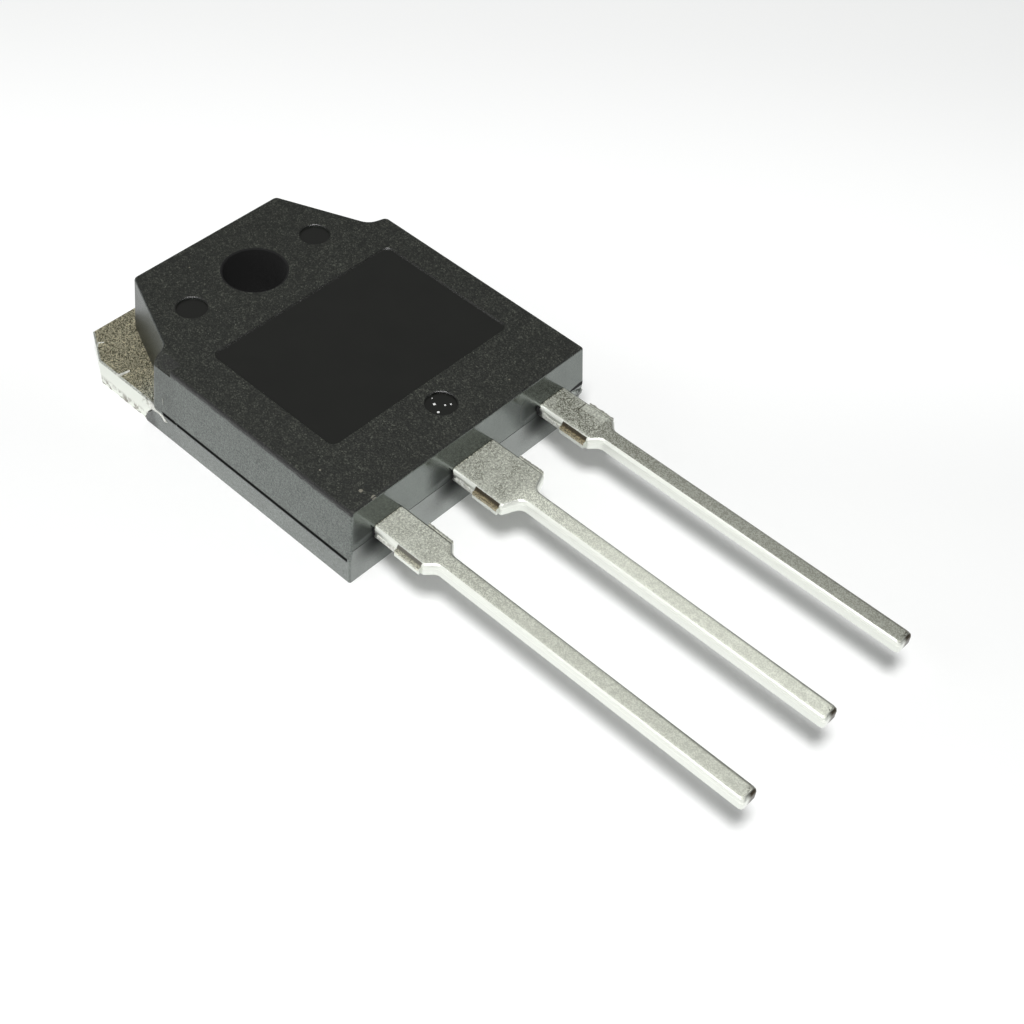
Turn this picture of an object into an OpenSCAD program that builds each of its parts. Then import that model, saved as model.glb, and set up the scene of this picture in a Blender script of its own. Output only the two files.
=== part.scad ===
// Three-lead power transistor, moulded round a metal back.
// The origin is the mounting hole's centre on the metal back face.
// +Z rises through the case, the leads run along -Y, +X runs across.
// All sizes are in millimetres.

/* [Case] */
// Width of the case across its long sides
case_w = 15.6; // [15.4:0.1:16.4]
// Height of the case above the metal back
case_h = 4.8; // [4.7:0.1:5.4]
// Distance from the hole to the lead end of the case
case_front = 14.9; // [14.7:0.1:16]
// Distance from the hole to the top edge of the neck
neck_top = 3.8; // [3.4:0.1:4.4]
// How far each flank of the neck draws in from the waist to the top edge
neck_narrowing = 2.05; // [1.6:0.05:2.4]
// Distance from the hole down to the inner corners of the shoulders
shoulder_drop = 1.0; // [0.9:0.1:1.2]
// How far each shoulder falls towards its outer corner
shoulder_fall = 0.3; // [0.1:0.05:0.3]
// Width of each shoulder
shoulder_w = 1.0; // [0.9:0.05:1.3]
// Draft angle of the walls above the mould parting
draft = 4; // [2:0.5:6]
// Draft angle of the walls below the mould parting
lower_draft = 6; // [3:0.5:7]
// Height of the mould parting along the long sides
side_part_z = 1.75; // [1.65:0.05:2.2]
// Radius of the moulded edge round the top face
top_edge_r = 0.12; // [0.06:0.02:0.3]
// Radius of the upright corners at the lead end
corner_r = 0.1; // [0.06:0.02:0.3]
// Radius of the upright corners of the shoulders and the neck
back_corner_r = 0.26; // [0.1:0.02:0.3]
// Radius of the inner corners at the waist
waist_r = 0.9; // [0.3:0.1:1]

/* [Case details] */
// Height of the groove along each long side
groove_h = 0.14; // [0.06:0.02:0.2]
// Depth of that groove
groove_d = 0.2; // [0.1:0.02:0.3]
// Plain length left at the lead end of the groove
groove_front_gap = 0.25; // [0.25:0.05:1]
// Plain length left at the shoulder end of the groove
groove_back_gap = 1.1; // [0.6:0.1:2]
// Length of the sloped flat on the shoulder above the gate lead
facet_len = 1.7; // [1:0.1:2.4]
// Width of that flat on the top face
facet_w = 0.65; // [0.4:0.05:0.9]
// Slope of that flat, falling outwards
facet_slope = 28; // [15:1:40]
// Diameter of the two ejector marks beside the hole
ejector_d = 1.5; // [1:0.1:1.8]
// Width of the sloped rim of every ejector mark
ejector_rim = 0.05; // [0.02:0.01:0.08]
// Distance between those two marks
ejector_span = 8.0; // [7.4:0.1:8.2]
// Depth of every ejector mark
ejector_depth = 0.12; // [0.1:0.02:0.3]
// Diameter of the ejector mark near the leads
low_ejector_d = 1.5; // [1:0.1:1.8]
// Distance from the lead end of the case to that mark
low_ejector_in = 2.2; // [1.9:0.1:2.4]

/* [Label panel] */
// Plain width left on each side of the recessed panel
panel_side = 2.05; // [1.6:0.05:4]
// Plain length left between the panel and the lead end
panel_gap = 3.6; // [3.5:0.1:6]
// Distance from the hole to the upper edge of the panel
panel_drop = 3.1; // [2.9:0.1:3.2]
// How far the panel stands off the middle, towards the source lead
panel_shift = 0.3; // [0:0.05:0.4]
// Depth of the panel below the top face
panel_depth = 0.06; // [0.03:0.01:0.15]
// Radius of the panel corners
panel_r = 0.4; // [0.3:0.1:1.2]
// Slope of the panel's walls and of the rims of the ejector marks
rim_slope = 35; // [30:1:60]

/* [Mounting hole] */
// Diameter of the mounting hole
hole_d = 3.2; // [2.8:0.1:3.6]
// Width of the broken edge at the top of the hole
hole_edge = 0.05; // [0.03:0.01:0.2]
// Plastic that lines the hole in the metal
liner_wall = 0.6; // [0.4:0.1:0.8]

/* [Heat spreader] */
// Thickness of the metal back
tab_t = 1.5; // [1.2:0.1:1.5]
// How far each wing stands back from the long side of the case
wing_inset = 0.25; // [0.2:0.05:0.5]
// How far the metal stands out past the neck
tab_out = 1.2; // [0.9:0.1:1.8]
// Plastic beside the metal under the case
plate_side_cover = 1.0; // [0.8:0.1:1.4]
// Plastic between the metal under the case and the lead end
plate_front_cover = 2.5; // [2.1:0.1:2.6]
// Distance from the hole down to where the wings end inside the shoulders
wing_drop = 1.8; // [1.8:0.1:2.2]
// Width of the cut corners of the wings
wing_cut_x = 1.1; // [0.6:0.1:1.6]
// Length of the cut corners of the wings
wing_cut_y = 1.9; // [1.2:0.1:2.4]
// Break along the stamped upper edge of the wings
tab_roll = 0.08; // [0.04:0.02:0.14]
// Width of the undercut that locks the case to the metal
lock_w = 0.4; // [0.2:0.1:0.6]
// Height of that undercut above the back
lock_h = 0.7; // [0.4:0.1:0.9]

/* [Leads] */
// Distance between neighbouring leads
lead_pitch = 5.45; // [5.3:0.05:5.6]
// Length of the leads outside the case
lead_len = 20; // [10:0.5:24]
// Thickness of the leads
lead_t = 0.6; // [0.5:0.05:0.7]
// Height of the underside of the leads above the back
lead_z = 2.5; // [2.4:0.05:2.6]
// Width of the outer leads beside the case
outer_w = 1.9; // [1.6:0.1:2.4]
// Width of the middle lead beside the case
middle_w = 2.9; // [2.8:0.1:3.4]
// Length of the wide part of each lead
wide_len = 3.05; // [2.95:0.05:3.6]
// Length over which the wide part narrows
taper_len = 0.4; // [0.3:0.05:0.8]
// Width of the narrow part of each lead
narrow_w = 1.0; // [0.8:0.05:1.2]
// Radius of the hollow corner where the narrow part starts
taper_r = 0.45; // [0.2:0.05:0.6]
// Radius of the corners of the wide part
wide_corner_r = 0.12; // [0.05:0.01:0.2]
// Radius of the corners at the lead tips
tip_r = 0.18; // [0.05:0.01:0.3]
// Roll of the stamped upper edges of the leads
lead_roll = 0.24; // [0.06:0.02:0.26]
// How far the sheared stubs stand out from the wide part
stub_out = 0.14; // [0.08:0.02:0.3]
// Length of the sheared stubs
stub_len = 1.5; // [1:0.1:1.6]
// Height of the sheared stubs
stub_h = 0.36; // [0.2:0.02:0.36]
// Distance from the case to the stubs
stub_gap = 1.4; // [1:0.05:1.4]

/* [Inner lead ends] */
// How far the gate bonding pad reaches inwards from the middle of its lead
gate_pad_in = 1.75; // [1.2:0.05:2]
// How far the source bonding pad reaches inwards from the middle of its lead
source_pad_in = 2.75; // [2.5:0.05:3]
// Length that each lead runs into its bonding pad
pad_lap = 0.3; // [0.2:0.05:0.5]
// Length of both bonding pads
pad_len = 1.9; // [1.6:0.1:2.1]
// Plastic between the bonding pads and the lead end
pad_cover = 0.9; // [0.7:0.1:1.1]
// Plastic between the bonding pads and the long sides
pad_side_cover = 0.9; // [0.8:0.1:1.1]
// Diameter of the locking hole in each pad
lock_hole_d = 0.7; // [0.5:0.05:0.8]
// Width of the strip that joins the middle lead to the metal back
strip_w = 2.4; // [1.8:0.1:2.6]
// Length of the strip inside the case before it bends down
strip_in = 1.5; // [1.2:0.1:1.6]
// Length that the strip overlaps the metal back
strip_land = 0.4; // [0.3:0.05:0.6]

/* [Chip and wires] */
// Width of the silicon chip
die_w = 6.4; // [5:0.1:7.4]
// Length of the silicon chip
die_l = 5.6; // [5:0.1:6]
// Thickness of the silicon chip
die_t = 0.3; // [0.2:0.02:0.36]
// Metal left between the chip and the lead end of the metal back
die_gap = 2.4; // [2.2:0.1:2.6]
// Thickness of the solder under the chip
solder_t = 0.06; // [0.03:0.01:0.1]
// How far the solder spreads past the chip
solder_out = 0.15; // [0.05:0.05:0.3]
// Diameter of the source bond wires
source_wire_d = 0.38; // [0.25:0.01:0.45]
// Diameter of the gate bond wire
gate_wire_d = 0.13; // [0.1:0.01:0.2]
// Height of the wire loops above the leads
loop_rise = 0.8; // [0.6:0.05:1]
// Distance from the gate lead's middle inwards to its wire
gate_foot_in = 0.65; // [0.3:0.05:1]
// Distance from the source lead's middle inwards to the midpoint of its wires
source_foot_in = 1.0; // [0.8:0.05:1.2]
// Distance between the two source wires
source_wire_gap = 1.7; // [1.4:0.1:1.9]
// Distance from the side edge of the chip to the gate wire
gate_land_side = 0.35; // [0.3:0.05:0.8]
// Distance from the side edge of the chip to the outer source wire
source_land_side = 0.45; // [0.4:0.05:0.8]
// Distance from the near edge of the chip to the gate wire
gate_land_in = 0.55; // [0.4:0.05:1]
// Distance from the near edge of the chip to the source wires
source_land_in = 1.0; // [0.8:0.05:1.4]

/* [Hidden] */

case_color = "#33363a";
tin_color = "#b9b6a6";
silicon_color = "#5d6470";
solder_color = "#9a9c9e";
wire_color = "#d3d4d6";

waist_w = case_w - 2 * shoulder_w;
neck_w = waist_w - 2 * neck_narrowing;
tab_w = case_w - 2 * wing_inset;
tab_top = neck_top + tab_out;
plate_w = case_w - 2 * plate_side_cover;
plate_end = case_front - plate_front_cover;
lead_top_z = lead_z + lead_t;
loop_top = lead_top_z + loop_rise;
die_top_z = tab_t + solder_t + die_t;
die_near_y = -plate_end + die_gap;
tab_hole_d = hole_d + 2 * liner_wall;
bend_y = -case_front + strip_in;
pad_near_y = -case_front + pad_cover;
pad_mid_y = pad_near_y + pad_len / 2;
pad_outer_x = case_w / 2 - pad_side_cover;
corner_steps = 6;
edge_steps = 4;
round_fn = 64;
small_fn = 32;
reach = 1;

// Unit vector along v
function unit(v) = v / norm(v);

// Inward normal of an edge of an anticlockwise outline
function inward(a, b) = let (d = unit(b - a)) [-d[1], d[0]];

// Edge from a to b, moved inwards by e
function moved(a, b, e) = [a + e * inward(a, b), b + e * inward(a, b)];

// Point where the lines through two edges meet
function meet(p, q) =
    let (r = p[1] - p[0], s = q[1] - q[0], d = q[0] - p[0])
    p[0] + r * (d[0] * s[1] - d[1] * s[0]) / (r[0] * s[1] - r[1] * s[0]);

// Outline with edge i moved inwards by insets[i]
function inset_outline(points, insets) =
    let (n = len(points))
    [for (i = [0 : n - 1])
        let (before = (i + n - 1) % n, after = (i + 1) % n)
        meet(moved(points[before], points[i], insets[before]),
             moved(points[i], points[after], insets[i]))];

// Arc of radius r that rounds the corner p between a and b
function corner_arc(a, p, b, r) =
    let (u = unit(a - p), v = unit(b - p), half = acos(u * v) / 2, turn = 180 - 2 * half)
    let (centre = p + unit(u + v) * r / sin(half), reach_out = r / tan(half))
    let (from = p + u * reach_out - centre, to = p + v * reach_out - centre)
    [for (i = [0 : corner_steps])
        let (k = i / corner_steps)
        centre + (from * sin(turn * (1 - k)) + to * sin(turn * k)) / sin(turn)];

// Outline with corner i rounded by radii[i], or left sharp at 0
function rounded_outline(points, radii) =
    let (n = len(points))
    [for (i = [0 : n - 1])
        let (before = points[(i + n - 1) % n], after = points[(i + 1) % n])
        each radii[i] > 0 ? corner_arc(before, points[i], after, radii[i]) : [points[i]]];

// Solid skinned through rings of equal count, each ring being [z, outline]
// The outlines are mirror images about x = 0 and start with their two rounded front corners
module skin_rings(rings) {
    n = len(rings[0][1]);
    last = len(rings) - 1;
    points = [for (ring = rings) for (p = ring[1]) [p[0], p[1], ring[0]]];
    walls = [for (k = [0 : last - 1]) for (i = [0 : n - 1])
        let (j = (i + 1) % n, a = k * n + i, b = k * n + j)
        each [[a, a + n, b + n], [a, b + n, b]]];
    floor_faces = [for (k = [0 : n / 2 - 2])
        let (l = (corner_steps - k + n) % n, l_next = (l + n - 1) % n, r = corner_steps + 1 + k)
        each [[l, r, r + 1], [l, r + 1, l_next]]];
    roof_faces = [for (face = floor_faces) [for (i = [2 : -1 : 0]) last * n + face[i]]];
    polyhedron(points, concat(floor_faces, roof_faces, walls), convexity = 6);
}

// Rings that roll an edge of radius r inwards up to height top
function rolled_edge(top, r) =
    [for (k = [0 : edge_steps])
        let (a = 90 * k / edge_steps)
        [top - r + r * sin(a), r * (1 - cos(a))]];

// Children and their mirror image across the case's centre plane
module both_sides() {
    children();
    mirror([1, 0, 0]) children();
}

// Corners of the case at its parting, anticlockwise from the lead end
case_points = [
    [-case_w / 2, -case_front], [case_w / 2, -case_front],
    [case_w / 2, -shoulder_drop - shoulder_fall], [waist_w / 2, -shoulder_drop],
    [neck_w / 2, neck_top], [-neck_w / 2, neck_top],
    [-waist_w / 2, -shoulder_drop], [-case_w / 2, -shoulder_drop - shoulder_fall]];
case_radii = [
    corner_r, corner_r, back_corner_r, waist_r,
    back_corner_r, back_corner_r, waist_r, back_corner_r];

// Height of the parting at each wall: the lead end parts under the leads
case_partings = [lead_z, for (i = [1 : 7]) side_part_z];

// How far a wall that parts at height part has drawn in at height z
function drawn_in(z, part) = z > part ? (z - part) * tan(draft) : (part - z) * tan(lower_draft);

// Ring of the case at height z, drawn in by extra
function case_ring(z, extra) =
    [z, rounded_outline(
        inset_outline(case_points, [for (part = case_partings) drawn_in(z, part) + extra]),
        case_radii)];

module case_block() {
    lower = [for (z = [0, side_part_z, lead_z]) case_ring(z, 0)];
    upper = [for (step = rolled_edge(case_h, top_edge_r)) case_ring(step[0], step[1])];
    skin_rings(concat(lower, upper));
}

module side_groove() {
    y0 = -case_front + groove_front_gap;
    y1 = -shoulder_drop - groove_back_gap;
    translate([case_w / 2 - groove_d, y0, side_part_z - groove_h / 2])
        cube([groove_d + reach, y1 - y0, groove_h]);
}

module shoulder_facet() {
    top_x = case_w / 2 - drawn_in(case_h, side_part_z) - facet_w;
    mirror([1, 0, 0])
        translate([top_x, -shoulder_drop - facet_len, case_h])
            rotate([0, facet_slope, 0])
                cube([facet_w + 2 * reach, facet_len + reach, reach]);
}

// Corners of the panel at the top face, anticlockwise from the lead end
panel_half_w = case_w / 2 - panel_side;
panel_points = [
    [-panel_half_w, -case_front + panel_gap], [panel_half_w, -case_front + panel_gap],
    [panel_half_w, -panel_drop], [-panel_half_w, -panel_drop]];

// Ring of the panel's sloped wall, rise above the top face
function panel_ring(rise) =
    let (spread = rise / tan(rim_slope))
    [case_h + rise, rounded_outline(
        inset_outline(panel_points, [for (p = panel_points) -spread]),
        [for (p = panel_points) panel_r + spread])];

module label_recess() {
    translate([panel_shift, 0, 0])
        skin_rings([panel_ring(-panel_depth), panel_ring(panel_depth)]);
}

// Ejector mark of diameter d with a sloped rim
module ejector_recess(x, y, d) {
    rim_h = ejector_rim * tan(rim_slope);
    translate([x, y, case_h - ejector_depth])
        cylinder(d = d, h = reach, $fn = small_fn);
    translate([x, y, case_h - rim_h])
        cylinder(d1 = d, d2 = d + 4 * ejector_rim, h = 2 * rim_h, $fn = small_fn);
}

module mounting_bore() {
    translate([0, 0, -reach])
        cylinder(d = hole_d, h = case_h + 2 * reach, $fn = round_fn);
    translate([0, 0, case_h - hole_edge])
        cylinder(d1 = hole_d, d2 = hole_d + 4 * hole_edge, h = 2 * hole_edge, $fn = round_fn);
}

module moulded_case() {
    color(case_color)
        difference() {
            case_block();
            mounting_bore();
            label_recess();
            both_sides() side_groove();
            shoulder_facet();
            both_sides() ejector_recess(ejector_span / 2, 0, ejector_d);
            ejector_recess(0, -case_front + low_ejector_in, low_ejector_d);
            spreader_solid();
            gate_lead_solid();
            source_lead_solid();
            chip_solid();
            solder_solid();
            gate_wire_solid();
            source_wire_solid(-1);
            source_wire_solid(1);
        }
}

// Corners of the metal back, anticlockwise from the lead end
tab_points = [
    [-plate_w / 2, -plate_end], [plate_w / 2, -plate_end],
    [plate_w / 2, -wing_drop], [tab_w / 2, -wing_drop],
    [tab_w / 2, tab_top - wing_cut_y], [tab_w / 2 - wing_cut_x, tab_top],
    [-tab_w / 2 + wing_cut_x, tab_top], [-tab_w / 2, tab_top - wing_cut_y],
    [-tab_w / 2, -wing_drop], [-plate_w / 2, -wing_drop]];

module locking_undercut() {
    translate([plate_w / 2 - lock_w, -plate_end - reach, -reach])
        cube([lock_w + reach, plate_end - wing_drop + reach, lock_h + reach]);
}

// Wedge that breaks the upper edge between corners a and b of the metal back
module broken_edge(a, b) {
    translate([a[0], a[1], tab_t])
        rotate([0, 0, atan2(b[1] - a[1], b[0] - a[0])])
            rotate([90, 0, 90])
                translate([0, 0, -tab_roll])
                    linear_extrude(norm(b - a) + 2 * tab_roll)
                        polygon([[2 * tab_roll, tab_roll], [-tab_roll, tab_roll], [-tab_roll, -2 * tab_roll]]);
}

module stamped_plate() {
    first_wing_edge = 3;
    last_wing_edge = 7;
    difference() {
        linear_extrude(tab_t) polygon(tab_points);
        for (i = [first_wing_edge : last_wing_edge]) broken_edge(tab_points[i], tab_points[i + 1]);
        translate([0, 0, -reach])
            cylinder(d = tab_hole_d, h = tab_t + 2 * reach, $fn = round_fn);
        both_sides() locking_undercut();
    }
}

// Strip that drops from the middle lead to the metal back, seen from the side
module joining_strip() {
    top_edge = [[bend_y, lead_top_z], [-plate_end + strip_land, tab_t]];
    under_edge = moved(top_edge[1], top_edge[0], lead_t);
    under_bend = meet(under_edge, [[bend_y, lead_z], [bend_y + 1, lead_z]]);
    under_land = meet(under_edge, [[-plate_end, 0], [-plate_end, 1]]);
    rotate([90, 0, 90])
        translate([0, 0, -strip_w / 2])
            linear_extrude(strip_w)
                polygon([
                    [bend_y - strip_land, lead_z], under_bend, under_land,
                    [-plate_end + strip_land, under_land[1]], top_edge[1], top_edge[0],
                    [bend_y - strip_land, lead_top_z]]);
}

module spreader_solid() {
    stamped_plate();
    joining_strip();
    lead_blade(middle_w, bend_y);
}

module heat_spreader() {
    color(tin_color) spreader_solid();
}

// Corners of one lead of width w, anticlockwise from the left of its tip
function lead_points(w, inner_y) =
    let (tip_y = -case_front - lead_len, wide_y = -case_front - wide_len, narrow_y = wide_y - taper_len)
    [[-narrow_w / 2, tip_y], [narrow_w / 2, tip_y],
     [narrow_w / 2, narrow_y], [w / 2, wide_y], [w / 2, inner_y],
     [-w / 2, inner_y], [-w / 2, wide_y], [-narrow_w / 2, narrow_y]];
lead_radii = [tip_r, tip_r, taper_r, wide_corner_r, 0, 0, wide_corner_r, taper_r];

// Ring of a lead at height z, drawn in by extra
function lead_ring(w, inner_y, z, extra) =
    let (points = lead_points(w, inner_y))
    [z, rounded_outline(inset_outline(points, [for (p = points) extra]), lead_radii)];

module shear_stub(w) {
    translate([w / 2 - stub_out, -case_front - stub_gap - stub_len, lead_z])
        cube([2 * stub_out, stub_len, stub_h]);
}

// One stamped lead with rolled upper edges and its two sheared stubs
module lead_blade(w, inner_y) {
    skin_rings(concat(
        [lead_ring(w, inner_y, lead_z, 0)],
        [for (step = rolled_edge(lead_top_z, lead_roll)) lead_ring(w, inner_y, step[0], step[1])]));
    both_sides() shear_stub(w);
}

// Bonding pad from x0 to x1 with its locking hole at hole_x
module bonding_pad(x0, x1, hole_x) {
    difference() {
        translate([x0, pad_near_y, lead_z])
            cube([x1 - x0, pad_len, lead_t]);
        translate([hole_x, pad_mid_y, lead_z - reach])
            cylinder(d = lock_hole_d, h = lead_t + 2 * reach, $fn = small_fn);
    }
}

module gate_lead_solid() {
    translate([-lead_pitch, 0, 0]) lead_blade(outer_w, pad_near_y + pad_lap);
    bonding_pad(-pad_outer_x, -lead_pitch + gate_pad_in, -pad_outer_x + lock_hole_d);
}

module gate_lead() {
    color(tin_color) gate_lead_solid();
}

module source_lead_solid() {
    translate([lead_pitch, 0, 0]) lead_blade(outer_w, pad_near_y + pad_lap);
    bonding_pad(lead_pitch - source_pad_in, pad_outer_x, pad_outer_x - lock_hole_d);
}

module source_lead() {
    color(tin_color) source_lead_solid();
}

module solder_solid() {
    translate([-die_w / 2 - solder_out, die_near_y - solder_out, tab_t])
        cube([die_w + 2 * solder_out, die_l + 2 * solder_out, solder_t]);
}

module chip_solder() {
    color(solder_color) solder_solid();
}

module chip_solid() {
    translate([-die_w / 2, die_near_y, tab_t + solder_t])
        cube([die_w, die_l, die_t]);
}

module silicon_chip() {
    color(silicon_color) chip_solid();
}

// Flat foot of a bond wire of diameter d, pressed on a surface at height z
module wire_foot(d, z) {
    foot_l = 2 * d;
    foot_w = 1.3 * d;
    translate([-foot_l / 2, -foot_w / 2, z])
        cube([foot_l, foot_w, d / 2]);
}

// Bond wire of diameter d that arcs from its pad over to the chip
// The arc's centre line is the circle through both feet that just reaches the loop height
module bond_wire(pad, chip, d) {
    span = norm(chip - pad);
    rise_pad = loop_top - d / 2 - lead_top_z;
    rise_chip = loop_top - d / 2 - die_top_z;
    step = rise_chip - rise_pad;
    run_pad = (sqrt(rise_pad * rise_chip * (span * span + step * step)) - rise_pad * span) / step;
    loop_r = (run_pad * run_pad + rise_pad * rise_pad) / (2 * rise_pad);
    start_angle = atan2(loop_r - rise_chip, span - run_pad);
    end_angle = atan2(loop_r - rise_pad, -run_pad);
    sink = asin(d / loop_r);
    translate([pad[0], pad[1], 0])
        rotate([0, 0, atan2(chip[1] - pad[1], chip[0] - pad[0])]) {
            intersection() {
                translate([run_pad, 0, loop_top - d / 2 - loop_r])
                    rotate([90, 0, 0])
                        rotate([0, 0, start_angle - sink])
                            rotate_extrude(angle = end_angle - start_angle + 2 * sink, $fn = round_fn)
                                translate([loop_r, 0]) circle(d = d, $fn = small_fn);
                union() {
                    translate([-span, -span, lead_top_z]) cube([span + run_pad, 2 * span, loop_top]);
                    translate([run_pad, -span, die_top_z]) cube([2 * span, 2 * span, loop_top]);
                }
            }
            wire_foot(d, lead_top_z);
            translate([span, 0, 0]) wire_foot(d, die_top_z);
        }
}

module gate_wire_solid() {
    bond_wire([-lead_pitch + gate_foot_in, pad_mid_y],
              [-die_w / 2 + gate_land_side, die_near_y + gate_land_in],
              gate_wire_d);
}

module gate_wire() {
    color(wire_color) gate_wire_solid();
}

// Source wire, the inner one at side -1 or the outer one at side 1
module source_wire_solid(side) {
    bond_wire([lead_pitch - source_foot_in + side * source_wire_gap / 2, pad_mid_y],
              [die_w / 2 - source_land_side - (1 - side) * source_wire_gap / 2, die_near_y + source_land_in],
              source_wire_d);
}

module source_wire_inner() {
    color(wire_color) source_wire_solid(-1);
}

module source_wire_outer() {
    color(wire_color) source_wire_solid(1);
}

moulded_case();
heat_spreader();
gate_lead();
source_lead();
silicon_chip();
chip_solder();
gate_wire();
source_wire_inner();
source_wire_outer();
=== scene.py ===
"""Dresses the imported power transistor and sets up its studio."""

import logging
import math
from dataclasses import dataclass, field
from enum import Enum

import bmesh
import bpy
from mathutils import Matrix, Vector, noise


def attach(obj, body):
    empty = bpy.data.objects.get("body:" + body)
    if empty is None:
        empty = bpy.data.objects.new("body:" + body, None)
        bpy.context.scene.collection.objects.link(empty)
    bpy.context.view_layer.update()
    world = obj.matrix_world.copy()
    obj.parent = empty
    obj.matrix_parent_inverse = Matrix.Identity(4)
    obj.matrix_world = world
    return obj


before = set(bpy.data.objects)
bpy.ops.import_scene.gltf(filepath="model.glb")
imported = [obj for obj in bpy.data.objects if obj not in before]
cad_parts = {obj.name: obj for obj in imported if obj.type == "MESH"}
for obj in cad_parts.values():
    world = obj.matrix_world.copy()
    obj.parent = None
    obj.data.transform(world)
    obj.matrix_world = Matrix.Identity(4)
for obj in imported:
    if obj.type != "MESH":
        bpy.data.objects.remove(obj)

LOG = logging.getLogger("transistor")
MM = 0.001
PITCH = 5.45
CASE_FRONT = -14.9
SIDE_PART_Z = 1.75
MARK_Z = 4.68
LEAD_TOP = 3.1
STUB_TOP = 2.86
STUB_Y = (-17.8, -16.3)
Color = tuple[float, float, float]
Spot = tuple[float, float, float]
Step = tuple[float, ...]


class Lead(Enum):
    """The three leads, each with the node that it is part of and its width beside the case in millimetres."""

    GATE = ("gate_lead", 1.9)
    DRAIN = ("heat_spreader", 2.9)
    SOURCE = ("source_lead", 1.9)

    @property
    def centre(self) -> float:
        """Middle of the lead across the part, in millimetres."""
        return {"GATE": -PITCH, "DRAIN": 0.0, "SOURCE": PITCH}[self.name]

    @property
    def resin(self) -> float:
        """Size of the resin that crept out beside the lead, next to that of the source lead."""
        return {"GATE": 0.22, "DRAIN": 0.15, "SOURCE": 0.85}[self.name]

    @property
    def near_edge(self) -> float:
        """Edge of the wide part on the gate side, in millimetres."""
        return self.centre - self.value[1] / 2

    @property
    def far_edge(self) -> float:
        """Edge of the wide part on the source side, in millimetres."""
        return self.centre + self.value[1] / 2


class Wire:
    """One output of a node, with arithmetic that adds Math nodes."""

    def __init__(self, sheet: "Sheet", socket: bpy.types.NodeSocket) -> None:
        """Keeps the node sheet and the output's socket."""
        self.sheet = sheet
        self.socket = socket

    def __add__(self, other: "Wire | float") -> "Wire":
        """Sum."""
        return self.sheet.calc("ADD", self, other)

    def __sub__(self, other: "Wire | float") -> "Wire":
        """Difference."""
        return self.sheet.calc("SUBTRACT", self, other)

    def __rsub__(self, other: float) -> "Wire":
        """Difference from a number."""
        return self.sheet.calc("SUBTRACT", other, self)

    def __mul__(self, other: "Wire | float") -> "Wire":
        """Product."""
        return self.sheet.calc("MULTIPLY", self, other)

    def __truediv__(self, other: float) -> "Wire":
        """Quotient."""
        return self.sheet.calc("DIVIDE", self, other)

    def __abs__(self) -> "Wire":
        """Distance from zero."""
        return self.sheet.calc("ABSOLUTE", self)

    def __lt__(self, other: "Wire | float") -> "Wire":
        """Mask of where it is less."""
        return self.sheet.calc("LESS_THAN", self, other)

    def __gt__(self, other: "Wire | float") -> "Wire":
        """Mask of where it is greater."""
        return self.sheet.calc("GREATER_THAN", self, other)


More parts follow.
